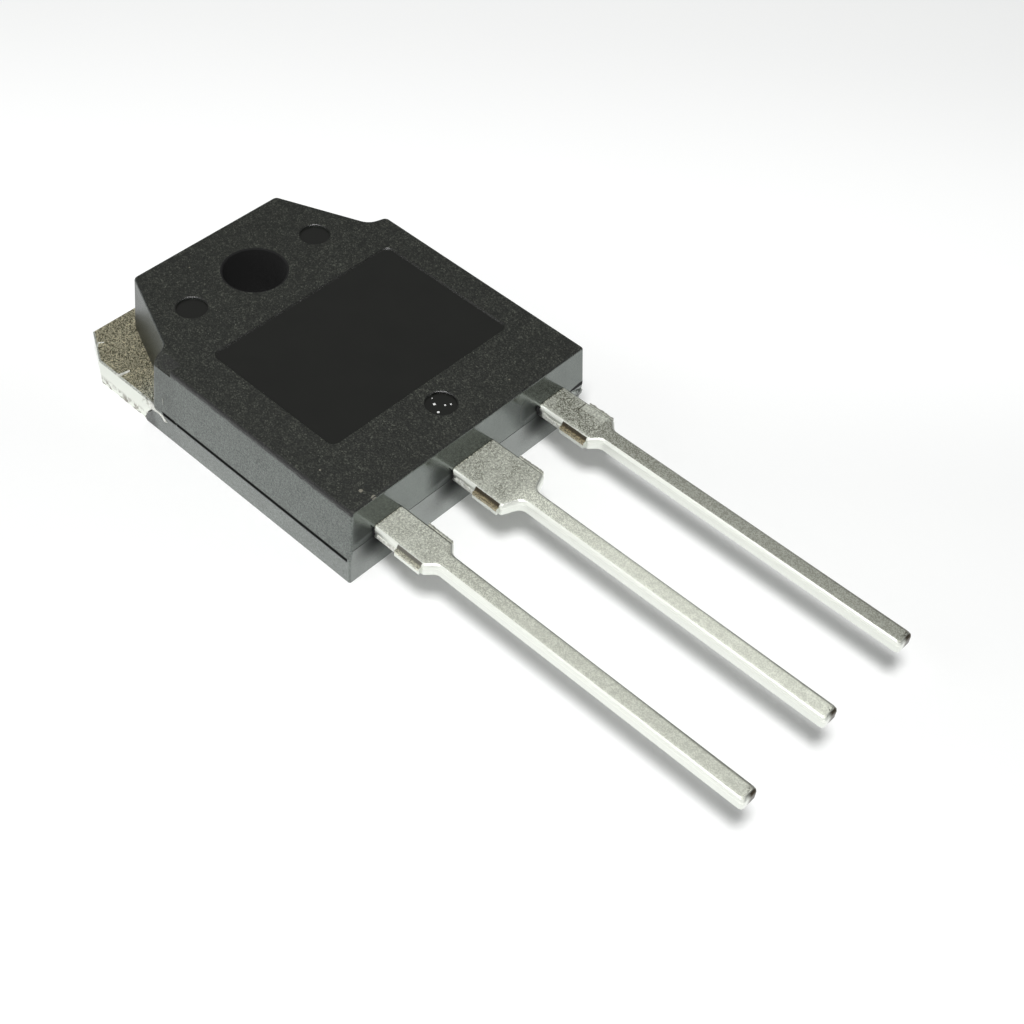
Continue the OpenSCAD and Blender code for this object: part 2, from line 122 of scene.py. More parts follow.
class Sheet:
    """A material's node sheet, with short calls for the nodes that the finishes share."""

    def __init__(self, name: str) -> None:
        """Starts an empty material.

        Args:
            name: Name of the material.
        """
        self.material = bpy.data.materials.new(name)
        self.material.use_nodes = True
        self.tree = self.material.node_tree
        self.tree.nodes.clear()
        self.output = self.tree.nodes.new("ShaderNodeOutputMaterial")
        self.shader = self.tree.nodes.new("ShaderNodeBsdfPrincipled")
        self.feed(self.output, "Surface", Wire(self, self.shader.outputs["BSDF"]))
        self._place: Wire | None = None

    def feed(self, node: bpy.types.Node, key: int | str, value: object) -> None:
        """Links a wire, or sets a constant, on one input of a node.

        Args:
            node: The node to feed.
            key: Input name or number.
            value: A wire to link or a constant to set.
        """
        if isinstance(value, Wire):
            self.tree.links.new(value.socket, node.inputs[key])
        else:
            node.inputs[key].default_value = value

    def add(self, kind: str, inputs: dict[int | str, object], output: int | str = 0, **settings: str) -> Wire:
        """Adds one node.

        Args:
            kind: Its type, without the prefix that all types share.
            inputs: Wires and constants, by input.
            output: Which output to read.
            **settings: Options of the node.

        Returns:
            The output.
        """
        node = self.tree.nodes.new("ShaderNode" + kind)
        for key, choice in settings.items():
            setattr(node, key, choice)
        for key, value in inputs.items():
            self.feed(node, key, value)
        return Wire(self, node.outputs[output])

    def place(self) -> Wire:
        """Position on the part in millimetres.

        Returns:
            The position, which all nodes of the sheet share.
        """
        if self._place is None:
            point = self.add("TexCoord", {}, "Object")
            self._place = self.add("Mapping", {"Vector": point, "Scale": (1 / MM,) * 3}, "Vector")
        return self._place

    def axis(self, letter: str) -> Wire:
        """One coordinate of the position, in millimetres."""
        return self.add("SeparateXYZ", {0: self.place()}, letter)

    def facing(self, letter: str) -> Wire:
        """One coordinate of the surface normal."""
        return self.add("SeparateXYZ", {0: self.add("NewGeometry", {}, "True Normal")}, letter)

    def noise(self, per_mm: float, detail: float = 2.0, rough: float = 0.5) -> Wire:
        """Soft noise from 0 to 1, by features per millimetre, octaves and weight of the finer ones."""
        grain = {"Scale": per_mm, "Detail": detail, "Roughness": rough}
        return self.add("TexNoise", {"Vector": self.place(), **grain})

    def cells(self, per_mm: float) -> Wire:
        """Random grey of each cell of a pattern with so many cells per millimetre."""
        return self.add("TexVoronoi", {"Vector": self.place(), "Scale": per_mm}, "Color")

    def ramp(self, value: Wire, low: float, high: float, start: float = 0.0, end: float = 1.0) -> Wire:
        """Smooth step from start, where value is low, to end, where it is high."""
        limits = {"From Min": low, "From Max": high, "To Min": start, "To Max": end}
        return self.add("MapRange", {**limits, "Value": value}, "Result", interpolation_type="SMOOTHSTEP")

    def ramp_at(self, value: Wire, place: float, low: float, high: float, *ends: float) -> Wire:
        """Smooth step whose low and high are measured from a place."""
        return self.ramp(value, place + low, place + high, *ends)

    def calc(self, operation: str, a: Wire | float, b: Wire | float = 0.0) -> Wire:
        """Result of one Math node."""
        return self.add("Math", {0: a, 1: b}, operation=operation)

    def both(self, *masks: Wire) -> Wire:
        """Product of several masks."""
        return math.prod(masks[1:], start=masks[0])

    def band(self, value: Wire, low: float, high: float, soft: float) -> Wire:
        """Mask that is 1 between low and high, with edges as wide as soft."""
        edge = (-soft / 2, soft / 2)
        return self.ramp_at(value, low, *edge) * self.ramp_at(value, high, *edge, 1.0, 0.0)

    def most(self, *masks: Wire) -> Wire:
        """Largest of several masks.

        Args:
            *masks: The masks.

        Returns:
            The largest one at each point.
        """
        result = masks[0]
        for mask in masks[1:]:
            result = self.calc("MAXIMUM", result, mask)
        return result

    def without(self, mask: Wire, *others: Wire) -> Wire:
        """Mask with others cut out of it."""
        return math.prod((1.0 - other for other in others), start=mask)

    def waver(self, value: Wire, size: float) -> Wire:
        """Value from 0 to 1 turned into a swing about zero, as wide as size."""
        return (value - 0.5) * size

    def dots(self, places: tuple[Spot, ...], ragged: Wire) -> Wire:
        """Mask of small uneven flecks seen from above.

        Args:
            places: X, Y and radius of each fleck in millimetres.
            ragged: Noise that roughens their outlines.

        Returns:
            The mask.
        """
        x, y = self.axis("X"), self.axis("Y")
        masks = []
        for across, along, radius in places:
            dx, dy = x - across, y - along
            reach = self.blend(ragged, 0.1 * radius * radius, 2.0 * radius * radius)
            masks.append(dx * dx + dy * dy < reach)
        return self.most(*masks)

    def blend(self, mask: Wire | float, a: Wire | float, b: Wire | float) -> Wire:
        """Number that goes from a to b with the mask."""
        return self.add("Mix", {0: mask, 2: a, 3: b}, data_type="FLOAT")

    def tint(self, mask: Wire, a: Wire | Color, b: Wire | Color) -> Wire:
        """Colour that goes from a to b with the mask."""
        ends = (end if isinstance(end, Wire) else (*end, 1.0) for end in (a, b))
        return self.add("Mix", {0: mask, **dict(zip((6, 7), ends))}, 2, data_type="RGBA")

    def scale(self, color: Wire | Color, factor: Wire) -> Wire:
        """Colour multiplied by a number."""
        return self.add("VectorMath", {0: color, "Scale": factor}, "Vector", operation="SCALE")

    def relief(self, height: Wire, depth_mm: float) -> Wire:
        """Normal bumped by a height from 0 to 1, which is so many millimetres deep."""
        return self.add("Bump", {"Height": height, "Distance": depth_mm * MM}, "Normal")

    def dress(self, color: Wire, roughness: Wire, normal: Wire, metallic: Wire | float,
              ior: float) -> bpy.types.Material:
        """Feeds the shader and returns the material.

        Args:
            color: Base colour.
            roughness: Roughness.
            normal: Bumped normal.
            metallic: 1 for metal, 0 for plastic.
            ior: Index of refraction.

        Returns:
            The finished material.
        """
        names = ("Base Color", "Roughness", "Normal", "Metallic", "IOR")
        for name, value in zip(names, (color, roughness, normal, metallic, ior)):
            self.feed(self.shader, name, value)
        return self.material


@dataclass(frozen=True)
class MouldedEpoxy:
    """Charcoal epoxy: spark-textured on top, smooth on the panel and mirror-like on the walls.

    Places are in millimetres. A step holds where it starts and ends and then, where that isn't 0 and 1,
    what it goes from and to. A band holds where it starts and ends and how wide its soft edges are.
    """

    sheet: Sheet = field(default_factory=lambda: Sheet("moulded_epoxy"))
    dark_grain: Color = (0.003, 0.004, 0.002)
    light_grain: Color = (0.108, 0.114, 0.092)
    panel: Color = (0.0085, 0.0087, 0.0073)
    wall: Color = (0.155, 0.172, 0.16)
    # Near black; also the colour of the painted shade in the crack, the grooves, the bore and under the
    # leads.
    black: Color = (0.001, 0.001, 0.001)
    fleck: Color = (0.2, 0.19, 0.15)
    flecks: tuple[Spot, ...] = (
        (-6.39, -14.04, 0.09), (-6.24, -14.7, 0.12), (-6.82, -11.93, 0.05), (3.4, -13.8, 0.04),
        (-2.2, 2.3, 0.04))
    faces_up: Step = (0.9, 0.97)
    faces_front: Step = (-0.9, -0.8, 1.0, 0.0)
    flat_slope: Step = (0.865, 0.9, 0.01)
    rim_slope: Step = (0.79, 0.85, 0.02)
    rim_z: Step = (4.64, 4.68)
    panel_x: Step = (-5.45, 6.05, 0.06)
    panel_y: Step = (-11.3, -3.1, 0.06)
    panel_z: Step = (4.71, 4.76, 0.01)
    mark_z: Step = (4.66, 4.7, 0.01)
    top_z: Step = (4.76, 4.78)
    flat_z: Step = (4.2, 4.3)
    side_spill: float = 4.46
    front_spill: float = 4.68
    spill_fade: float = 0.22
    shoulder_y: float = -1.0
    shoulder_fade: Step = (-0.3, 0.0, 1.0, 0.0)
    parting_z: float = 2.52
    crack_wander: float = 0.07
    crack_width: Step = (6.4, 7.5, 0.02, 0.13)
    groove_z: Step = (SIDE_PART_Z - 0.13, SIDE_PART_Z + 0.13, 0.02)
    groove_y: Step = (-14.65, -2.03, 0.02)
    bridge_y: Step = (-3.06, -2.98, 0.02)
    long_wall_x: float = 7.4
    hole_r: float = 1.68
    under_near: Step = (-1.7, 0.35)
    under_far: Step = (-0.1, 0.05, 1.0, 0.0)
    under_rise: Step = (0.1, 2.3)
    under_fall: Step = (2.5, 3.3, 1.0, 0.0)
    beside_reach: Step = (-1.75, -0.8)
    beside_lean: float = 0.85
    beside_from: float = 3.0
    beside_edge: Step = (-0.2, 0.16)
    beside_rise: Step = (2.6, 3.0)
    beside_fall: Step = (3.4, 4.5, 0.65, 0.1)
    line_z: Step = (4.5, 4.62)
    line_y: Step = (-1.9, -1.6, 1.0, 0.0)
    line_level: float = 0.85
    lower_level: float = 0.95
    upper_level: float = 0.8
    upper_fade: Step = (0.0, 0.05)
    # Painted reflection: where the walls darken towards the wing, and how dark the neck flank is painted from
    # bottom to top.
    wing_reflection_y: Step = (-3.2, -2.7, 1.0, 0.85)
    flank_fade: Step = (-0.5, 0.0)
    flank_reflection_level: Step = (2.0, 4.4, 0.42, 0.84)
    neck_fade: Step = (-0.7, -0.1)
    wall_metal: float = 0.75
    relief_mm: float = 0.03
    ior: float = 1.6

    def front(self) -> Wire:
        """Mask of the walls that face the leads."""
        return self.sheet.ramp(self.sheet.facing("Y"), *self.faces_front)

    def smooth_mask(self) -> Wire:
        """Mask of the sunk panel and of the floors of the ejector marks.

        Returns:
            The mask.
        """
        sheet = self.sheet
        z = sheet.axis("Z")
        panel = sheet.both(
            sheet.band(sheet.axis("X"), *self.panel_x), sheet.band(sheet.axis("Y"), *self.panel_y),
            sheet.band(z, *self.panel_z))
        floors = sheet.band(z, *self.mark_z)
        return sheet.most(panel, floors) * sheet.ramp(sheet.facing("Z"), *self.faces_up)

    def painted_shade_mask(self) -> Wire:
        """Mask of painted shade in the dark places: the parting crack under the leads, the side grooves and
        the hole's bore. These are real features whose darkness is painted.

        Returns:
            The mask.
        """
        sheet = self.sheet
        x, y, z = (sheet.axis(letter) for letter in "XYZ")
        wander = sheet.waver(sheet.noise(2.5, 3.0), self.crack_wander)
        height = (z - self.parting_z) + wander
        crack = (abs(height) < sheet.ramp(x, *self.crack_width)) * self.front()
        groove = sheet.both(
            sheet.band(z, *self.groove_z), sheet.band(y, *self.groove_y),
            1.0 - sheet.band(y, *self.bridge_y), abs(x) > self.long_wall_x)
        hole = x * x + y * y < self.hole_r ** 2
        return sheet.most(crack, groove, hole)

    def under_mask(self) -> Wire:
        """Mask of the shade on the front wall, below the leads and slanting up beside their roots.

        Returns:
            The mask.
        """
        sheet = self.sheet
        x, z = sheet.axis("X"), sheet.axis("Z")
        lean = (z - self.beside_from) * self.beside_lean
        below, beside = [], []
        for lead in Lead:
            near = sheet.ramp_at(x, lead.near_edge, *self.under_near)
            below.append(near * sheet.ramp_at(x, lead.far_edge, *self.under_far))
            slant = sheet.ramp((lead.near_edge - x) - lean, *self.beside_edge)
            beside.append(slant * sheet.ramp_at(x, lead.near_edge, *self.beside_reach))
        low = sheet.both(
            sheet.most(*below), sheet.ramp(z, *self.under_rise), sheet.ramp(z, *self.under_fall))
        high = sheet.both(
            sheet.most(*beside), sheet.ramp(z, *self.beside_rise), sheet.ramp(z, *self.beside_fall))
        return sheet.most(low, high) * self.front()

    def rim_mask(self) -> Wire:
        """Mask of the sloped rims of the panel and of the ejector marks."""
        slope = self.sheet.band(self.sheet.facing("Z"), *self.rim_slope)
        return slope * self.sheet.ramp(self.sheet.axis("Z"), *self.rim_z)

    def spark_mask(self, fine: Wire) -> Wire:
        """Mask of the spark texture: the top face, the sloped flat and what spills over the edges.

        Args:
            fine: Fine noise.

        Returns:
            The mask.
        """
        sheet = self.sheet
        z, steep = sheet.axis("Z"), sheet.facing("Z")
        top = sheet.ramp(z, *self.top_z) * sheet.ramp(steep, *self.faces_up)
        flat = sheet.band(steep, *self.flat_slope) * sheet.ramp(z, *self.flat_z)
        start = sheet.blend(self.front(), self.side_spill, self.front_spill)
        over = ((z + sheet.waver(fine, 0.5)) - start) / self.spill_fade
        body = sheet.ramp_at(sheet.axis("Y"), self.shoulder_y, *self.shoulder_fade)
        return sheet.most(top, flat, sheet.ramp(over, 0.0, 1.0) * body)

    def wall_color(self, fine: Wire, front: Wire, under: Wire) -> Wire:
        """Colour of the smooth walls: lighter below the parting, with painted shade under the leads and a
        painted dark reflection of the wing on the walls near it, strongest low on the neck flank.

        Args:
            fine: Fine noise.
            front: Mask of the front walls.
            under: Mask of the shade on the front wall.

        Returns:
            The colour.
        """
        sheet = self.sheet
        y, z = sheet.axis("Y"), sheet.axis("Z")
        upper = sheet.without(sheet.ramp_at(z, SIDE_PART_Z, *self.upper_fade), front)
        # Painted reflection: the walls darken towards the wing, and low on the neck flank, as the wing's dark
        # reflection.
        level = sheet.blend(upper, self.lower_level, self.upper_level) * sheet.ramp(y, *self.wing_reflection_y)
        flank = sheet.ramp_at(y, self.shoulder_y, *self.flank_fade)
        level = level * sheet.blend(flank, 1.0, sheet.ramp(z, *self.flank_reflection_level))
        speckled = sheet.blend(
            sheet.ramp(fine, 0.3, 0.7), sheet.blend(front, 0.55, 0.9), sheet.blend(front, 1.45, 1.1))
        return sheet.tint(under, sheet.scale(self.wall, level * speckled), self.black)

    def edge_line(self, blotches: Wire) -> Wire:
        """Mask of the dark line along the top edge of the long wall.

        Args:
            blotches: Coarse noise that breaks the line up.

        Returns:
            The mask.
        """
        sheet = self.sheet
        ragged = sheet.axis("Z") + sheet.waver(blotches, 0.35)
        line = sheet.both(
            sheet.ramp(ragged, *self.line_z), sheet.ramp(sheet.facing("Z"), 0.8, 0.95, 1.0, 0.0),
            sheet.ramp(sheet.facing("X"), -0.3, -0.2, 1.0, 0.0), sheet.ramp(sheet.axis("Y"), *self.line_y))
        return line * self.line_level

    def build(self) -> bpy.types.Material:
        """Builds the material.

        Returns:
            The material.
        """
        sheet = self.sheet
        fine = sheet.noise(11.0, 3.0, 0.75)
        patches = sheet.noise(0.7, 3.0, 0.55)
        blotches = sheet.noise(2.6, 2.0, 0.6)
        smooth, black, rim, under = self.smooth_mask(), self.painted_shade_mask(), self.rim_mask(), self.under_mask()
        front = self.front()
        textured = sheet.without(self.spark_mask(fine), smooth, black, rim)
        walls = sheet.without(1.0 - textured, smooth, black, rim)
        specks = sheet.calc("POWER", sheet.cells(18.0), 4.5)
        mottle = specks + sheet.ramp(fine, 0.48, 0.78, 0.0, 0.3)
        mottle = mottle * sheet.blend(sheet.ramp(blotches, 0.35, 0.65), 0.65, 1.3)
        grain = sheet.tint(mottle, self.dark_grain, self.light_grain)
        grain = sheet.tint(sheet.dots(self.flecks, fine), grain, self.fleck)
        color = sheet.tint(textured, self.wall_color(fine, front, under), grain)
        color = sheet.tint(self.edge_line(blotches), color, self.black)
        color = sheet.tint(sheet.most(smooth, rim), color, self.panel)
        # Painted shade: the parting crack, the side grooves and the bore are painted near black.
        color = sheet.tint(black, color, self.black)
        color = sheet.scale(color, sheet.blend(patches, 0.8, 1.2))
        neck = sheet.ramp_at(sheet.axis("Y"), self.shoulder_y, *self.neck_fade)
        polish = sheet.blend(front, sheet.blend(neck, 0.3, 0.36), 0.11)
        roughness = sheet.blend(textured, sheet.blend(under, polish, 0.75), sheet.blend(specks, 0.56, 0.34))
        roughness = sheet.blend(smooth, roughness, 0.3)
        roughness = sheet.blend(rim, roughness, sheet.ramp(fine, 0.35, 0.6, 0.24, 0.46))
        roughness = sheet.blend(black, roughness, 0.9)
        depth = sheet.blend(textured, sheet.blend(front, 0.6, 0.03), 1.0)
        height = (fine + specks * 0.6) * depth * sheet.blend(smooth, 1.0, 0.03)
        metallic = walls * sheet.blend(under, self.wall_metal, 1.0)
        return sheet.dress(color, roughness, sheet.relief(height, self.relief_mm), metallic, self.ior)


@dataclass(frozen=True)
class StampedTin:
    """Matt tin on stamped copper: pale and speckled leads, bronze wings and bare sheared ledges.

    Places are in millimetres, and steps and bands are held as in the epoxy's class. A side is measured
    across the lead from its middle line.
    """

    sheet: Sheet = field(default_factory=lambda: Sheet("stamped_tin"))
    lead_light: Color = (0.86, 0.88, 0.77)
    lead_dark: Color = (0.15, 0.15, 0.115)
    lead_side: Color = (0.73, 0.75, 0.70)
    # Painted highlight on the leads' near rolled edges.
    near_roll_highlight: Color = (0.93, 0.95, 0.88)
    # Painted shade on the leads' far edges, darker still near the tips.
    far_roll_shade: Color = (0.14, 0.14, 0.11)
    wing_light: Color = (0.9, 0.84, 0.61)
    wing_dark: Color = (0.1, 0.095, 0.06)
    wing_pale: Color = (1.0, 1.0, 0.84)
    wing_green: Color = (0.1, 0.105, 0.08)
    wing_side: Color = (0.68, 0.70, 0.65)
    mark: Color = (0.22, 0.21, 0.18)
    ledge: Color = (0.5, 0.43, 0.27)
    gate_ledge: Color = (0.8, 0.79, 0.63)
    shade: Color = (0.05, 0.04, 0.025)
    half_widths: Step = (1.45, 0.95)
    past_gate: Step = (-4.0, -2.0)
    past_drain: Step = (2.0, 4.0)
    ledge_turn: Step = (-4.5, -1.5)
    case_edge: Step = (-0.02, 0.02, 1.0, 0.0)
    wide_end: float = -17.95
    wide_fade: Step = (-0.3, 0.3)
    keep_off: Step = (0.05, 0.4)
    flat_side: Step = (0.3, 0.45)
    flat_stub: Step = (0.1, 0.05)
    flat_x: Step = (3.0, 4.0)
    speckled_y: Step = (-24.0, -18.5, 0.0, 0.25)
    verge_side: Step = (0.24, 0.4)
    verge_y: Step = (-34.8, -26.0, 0.95, 0.3)
    foot_side: Step = (0.5, 0.6)
    foot_edge: Step = (-0.06, 0.14, 0.03)
    foot_stub: Step = (0.05, 0.05)
    tip_y: float = -34.72
    tip_speck_fade: Step = (-0.02, 0.2, 0.9, 0.0)
    tip_speck_side: Step = (-0.1, 0.15)
    dark_fade: Step = (-0.1, 0.0, 1.0, 0.0)
    dark_side: Step = (-0.25, 0.1)
    far_y: Step = (-34.8, -24.0)
    pale_y: Step = (0.9, -0.7, 0.0, 0.85)
    marks_z: Step = (0.2, 0.65, 1.0, 0.0)
    streaks_z: Step = (0.8, 1.2)
    streaks_y: Step = (-0.4, 0.1, 1.0, 0.0)
    roll_stub: Step = (0.05, 0.1)
    bare_stub: Step = (0.02, 0.04)
    bare_reach: float = 0.1
    bare_z: Step = (STUB_TOP - 0.17, STUB_TOP + 0.3, 0.06)
    bare_share: Step = (0.85, 1.0)
    sunk_z: Step = (-0.07, 0.11)
    crease_y: Step = (STUB_Y[1] - 0.02, STUB_Y[1] + 0.02, 0.02)
    crease_x: Step = (5.45, 6.3, 0.1)
    faces_up: Step = (0.75, 0.97)
    faces_near: Step = (-0.35, -0.15, 1.0, 0.0)
    faces_far: Step = (0.15, 0.35)
    relief_mm: float = 0.042
    ior: float = 1.5

    def by_lead(self, at_gate: float, at_drain: float, more_at_source: float) -> Wire:
        """Number that changes from lead to lead.

        Args:
            at_gate: Value on the gate lead.
            at_drain: Value on the drain lead.
            more_at_source: What the source lead has above the drain lead.

        Returns:
            The number.
        """
        x = self.sheet.axis("X")
        first = self.sheet.ramp(x, *self.past_gate, at_gate, at_drain)
        return first + self.sheet.ramp(x, *self.past_drain, 0.0, more_at_source)

    def stub_band(self, start: float, soft: float) -> Wire:
        """Mask of the stretch along the sheared stubs, which starts so far past their outer end."""
        return self.sheet.band(self.sheet.axis("Y"), STUB_Y[0] + start, STUB_Y[1], soft)

    def lead_places(self) -> tuple[Wire, Wire]:
        """Place across the nearest lead and distance from its nearest edge.

        Returns:
            Place from the lead's middle, and how far that lies inside its wide part, in millimetres.
        """
        x = self.sheet.axis("X")
        across = x - self.sheet.calc("ROUND", x / PITCH) * PITCH
        half = self.sheet.blend(abs(x) > PITCH / 2, *self.half_widths)
        return across, half - abs(across)

    def lead_tops(self, grain: Wire) -> Wire:
        """Colour of the leads' top faces, with dark specks that keep off the edges, painted shade along the
        far edges and at the foot of the far stub's fin, and dark specks near the tip's far corner.

        Args:
            grain: Fine grain.

        Returns:
            The colour.
        """
        sheet = self.sheet
        x, y = sheet.axis("X"), sheet.axis("Y")
        across, inside = self.lead_places()
        wide = sheet.ramp_at(y, self.wide_end, *self.wide_fade)
        zones = sheet.ramp(sheet.noise(1.1, 3.0, 0.6), 0.36, 0.56, 0.45, 1.0)
        flattened = sheet.both(
            sheet.ramp(across, *self.flat_side), self.stub_band(*self.flat_stub), sheet.ramp(x, *self.flat_x))
        wide_share = sheet.both(
            sheet.ramp(inside, *self.keep_off), zones, self.by_lead(0.42, 0.72, 0.28), 1.0 - flattened)
        narrow_share = self.by_lead(0.25, 0.2, 0.3) + sheet.ramp(y, *self.speckled_y)
        dark = sheet.ramp(grain, 0.45, 0.57, 1.0, 0.0) * sheet.blend(wide, narrow_share, wide_share)
        level = sheet.blend(wide, self.by_lead(0.84, 1.02, -0.5), self.by_lead(0.72, 0.68, -0.05))
        # Painted light and shade: brightness patches on the wide parts that stand in for the lit and shaded
        # sides of their relief.
        relief = sheet.blend(sheet.ramp(sheet.noise(10.0, 3.0, 0.75), 0.38, 0.62), 0.74, 1.3)
        relief_shading = sheet.blend(wide, 1.0, relief)
        level = level * (sheet.blend(sheet.noise(3.2, 3.0, 0.6), 0.8, 1.2) * relief_shading)
        tops = sheet.tint(dark, sheet.scale(self.lead_light, level), self.lead_dark)
        # Painted shade along the far edges of the narrow parts, darkest near the tips, and at the foot of the
        # far stub's fin.
        verge = sheet.without(sheet.ramp(across, *self.verge_side), wide) * sheet.ramp(y, *self.verge_y)
        foot = sheet.both(
            sheet.ramp(across, *self.foot_side), sheet.band(inside, *self.foot_edge),
            sheet.ramp(grain, 0.4, 0.5), self.stub_band(*self.foot_stub))
        # Dark specks near the far corner of each tip.
        tip_specks = sheet.both(
            sheet.ramp_at(y, self.tip_y, *self.tip_speck_fade), sheet.ramp(across, *self.tip_speck_side),
            sheet.ramp(grain, 0.45, 0.52, 1.0, 0.0))
        return sheet.tint(sheet.most(verge, foot, tip_specks), tops, self.shade)

    def wing_tops(self, grain: Wire) -> Wire:
        """Colour of the top faces of the wings: greener towards the case, and paler there from painted light
        that lifts the shade beside the case.

        Args:
            grain: Fine grain.

        Returns:
            The colour.
        """
        sheet = self.sheet
        patches = sheet.noise(1.3, 3.0, 0.6)
        wings = sheet.tint(sheet.ramp(grain, 0.3, 0.72), self.wing_dark, self.wing_light)
        wings = sheet.scale(wings, sheet.blend(patches, 0.75, 1.2))
        pale = sheet.tint(sheet.ramp(grain, 0.36, 0.66), self.wing_green, self.wing_pale)
        pale = sheet.scale(pale, sheet.blend(patches, 0.95, 1.25))
        # Greener grain towards the case, made paler there by painted light that lifts the shade beside the
        # case.
        return sheet.tint(sheet.ramp(sheet.axis("Y"), *self.pale_y), wings, pale)

    def sides(self, lead: Wire, fine: Wire) -> Wire:
        """Colour of the sheared sides of the leads and wings.

        Args:
            lead: Mask of the leads.
            fine: Fine noise.

        Returns:
            The colour.
        """
        sheet = self.sheet
        y, z = sheet.axis("Y"), sheet.axis("Z")
        marks = sheet.ramp(z, *self.marks_z) * sheet.ramp(sheet.noise(2.8, 4.0, 0.7), 0.47, 0.56)
        streaks = sheet.both(
            sheet.ramp(z, *self.streaks_z), sheet.ramp(y, *self.streaks_y),
            sheet.ramp(sheet.noise(4.5, 3.0, 0.7), 0.48, 0.58))
        wing = sheet.tint(sheet.most(marks, streaks * 0.6), self.wing_side, self.mark)
        return sheet.tint(lead, wing, sheet.scale(self.lead_side, sheet.blend(fine, 0.9, 1.07)))

    def bare_ledges(self, lead: Wire, grain: Wire, ragged: Wire) -> tuple[Wire, Wire]:
        """Bare copper that shows on the near ledges of the sheared stubs.

        Args:
            lead: Mask of the leads.
            grain: Fine grain.
            ragged: Small swing that roughens the outline.

        Returns:
            Mask and colour of the bare copper, with painted shade along its top.
        """
        sheet = self.sheet
        x = sheet.axis("X")
        across, inside = self.lead_places()
        stub = sheet.both(lead, self.stub_band(*self.bare_stub), across < 0.0, inside < self.bare_reach)
        height = sheet.axis("Z") + ragged * 0.5
        bare = stub * sheet.band(height, *self.bare_z)
        bare = bare * sheet.ramp(x, *self.ledge_turn, *self.bare_share)
        tone = sheet.tint(sheet.ramp(x, *self.ledge_turn), self.gate_ledge, self.ledge)
        tone = sheet.scale(tone, sheet.ramp(grain, 0.35, 0.65, 0.35, 1.1))
        # Painted shade: the ledge darkens to shade towards its top, under the blade's edge.
        return bare, sheet.tint(sheet.ramp_at(height, STUB_TOP, *self.sunk_z), tone, self.shade)

    def build(self) -> bpy.types.Material:
        """Builds the material.

        Returns:
            The material.
        """
        sheet = self.sheet
        x, y = sheet.axis("X"), sheet.axis("Y")
        across = self.lead_places()[0]
        upward = sheet.ramp(sheet.facing("Z"), *self.faces_up)
        lead = sheet.ramp_at(y, CASE_FRONT, *self.case_edge)
        fine = sheet.noise(18.0, 3.0, 0.8)
        grain = fine * 0.5 + sheet.cells(21.0) * 0.5
        ragged = sheet.waver(fine, 0.35)
        tops = sheet.tint(lead, self.wing_tops(grain), self.lead_tops(grain))
        crease = sheet.band(y, *self.crease_y) * sheet.band(x, *self.crease_x)
        tops = sheet.tint(crease, tops, self.shade)
        near = sheet.ramp(sheet.facing("X"), *self.faces_near)
        edge = sheet.band(sheet.facing("Z"), 0.2, 0.86, 0.1) * near
        roll = sheet.without(edge * lead, self.stub_band(*self.roll_stub))
        away = sheet.both(
            sheet.band(sheet.facing("Z"), 0.15, 0.85, 0.1), sheet.ramp(sheet.facing("X"), *self.faces_far),
            sheet.ramp(sheet.facing("Y"), -0.3, -0.15), lead)
        torn = edge * sheet.without(sheet.ramp(fine + ragged, 0.45, 0.55), lead)
        color = sheet.tint(upward, self.sides(lead, fine), tops)
        # Painted highlight: the near rolled edges get a near-white colour and, below, less metal.
        color = sheet.tint(roll, color, self.near_roll_highlight)
        color = sheet.tint(torn * 0.6, color, self.wing_dark)
        # Painted shade: the far edges, turned away from the light, are darkened, most of all near the tips.
        far = sheet.tint(sheet.ramp(y, *self.far_y), self.shade, self.far_roll_shade)
        color = sheet.tint(away, color, far)
        bare, brown = self.bare_ledges(lead, grain, ragged)
        color = sheet.tint(bare, color, brown)
        level = sheet.ramp(sheet.facing("Z"), 0.9, 0.97, 1.0, 0.0)
        tip = sheet.ramp_at(y, self.tip_y, *self.dark_fade) * level
        color = sheet.tint(tip * sheet.ramp(across, *self.dark_side), color, self.shade)
        pale = sheet.most(upward * sheet.blend(lead, 0.15, 0.75), roll * 0.7, bare * 0.8)
        roughness = sheet.blend(upward, 0.34, sheet.blend(grain, 0.66, 0.38))
        relief = sheet.relief(grain * sheet.blend(upward, 0.15, 1.0), self.relief_mm)
        return sheet.dress(color, roughness, relief, 1.0 - pale, self.ior)


@dataclass(frozen=True)
class PlainFinish:
    """Plain grained finish of small trims and of sealed inner pieces."""

    name: str
    light: Color
    dark: Color
    rough: float
    metallic: float
    ior: float = 1.5

    def sealed(self) -> bpy.types.Material:
        """Builds the material of a sealed inner piece.

        Returns:
            The material.
        """
        sheet = Sheet(self.name)
        fine = sheet.noise(8.0, 3.0, 0.6)
        color = sheet.tint(fine, self.dark, self.light)
        roughness = sheet.blend(fine, self.rough * 0.8, self.rough * 1.2)
        return sheet.dress(color, roughness, sheet.relief(fine, 0.004), self.metallic, self.ior)

    def trim(self, per_mm: float = 9.0) -> bpy.types.Material:
        """Builds the material of flash, burrs, blobs or specks.

        Args:
            per_mm: Features of the grain per millimetre.

        Returns:
            The material.
        """
        sheet = Sheet(self.name)
        fine = sheet.noise(per_mm, 3.0, 0.65)
        color = sheet.tint(sheet.ramp(fine, 0.3, 0.7), self.dark, self.light)
        roughness = sheet.blend(fine, self.rough * 0.7, self.rough * 1.3)
        return sheet.dress(color, roughness, sheet.relief(fine, 0.012), self.metallic, self.ior)


